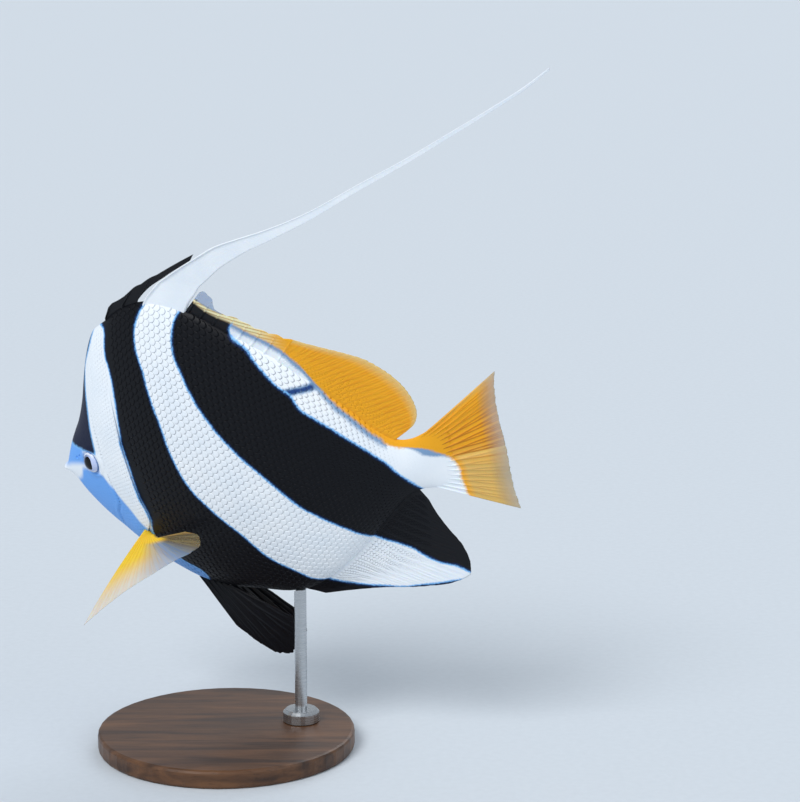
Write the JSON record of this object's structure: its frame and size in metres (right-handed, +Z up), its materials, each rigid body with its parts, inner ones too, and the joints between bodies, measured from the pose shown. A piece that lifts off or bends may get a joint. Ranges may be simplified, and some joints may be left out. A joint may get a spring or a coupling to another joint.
{
  "type": "schooling bannerfish model on a display stand",
  "caption": "Life-size museum model of a schooling bannerfish, banked and turning, with a long trailing banner, held by a rod on a round base.",
  "frame": {"origin": "middle of the floor print of the whole model, on the floor under the base", "axes": "+Z up, the snout towards -X and a little towards -Y, the banner trailing towards +X; the camera's view runs along +Y"},
  "size_m": [0.156, 0.114, 0.2253],
  "materials": {
    "skin": "satin painted fish skin, white with two slanting black bands",
    "eye": "glossy dark eye with a thin pale ring",
    "fin_white": "satin white fin web with rays",
    "fin_yellow": "satin orange-yellow fin web with rays",
    "fin_black": "satin black fin web with rays",
    "stand_wood": "dark stained, satin lacquer",
    "stand_steel": "brushed"
  },
  "bodies": {
    "root": {"head": "skin", "torso": "skin", "tail_stalk": "skin", "eye_left": "eye", "eye_right": "eye", "dorsal_front_spines": "fin_black", "dorsal_banner": "fin_white", "banner_streamer": "fin_white", "dorsal_back_spines": "fin_white", "dorsal_soft_fin": "fin_yellow", "anal_fin": "fin_black", "caudal_fin": "fin_yellow", "pectoral_fin_left": "fin_yellow", "pectoral_fin_right": "fin_yellow", "pelvic_fin_left": "fin_black", "pelvic_fin_right": "fin_black", "stand_base": "stand_wood", "stand_rod": "stand_steel"}
  },
  "joints": []
}
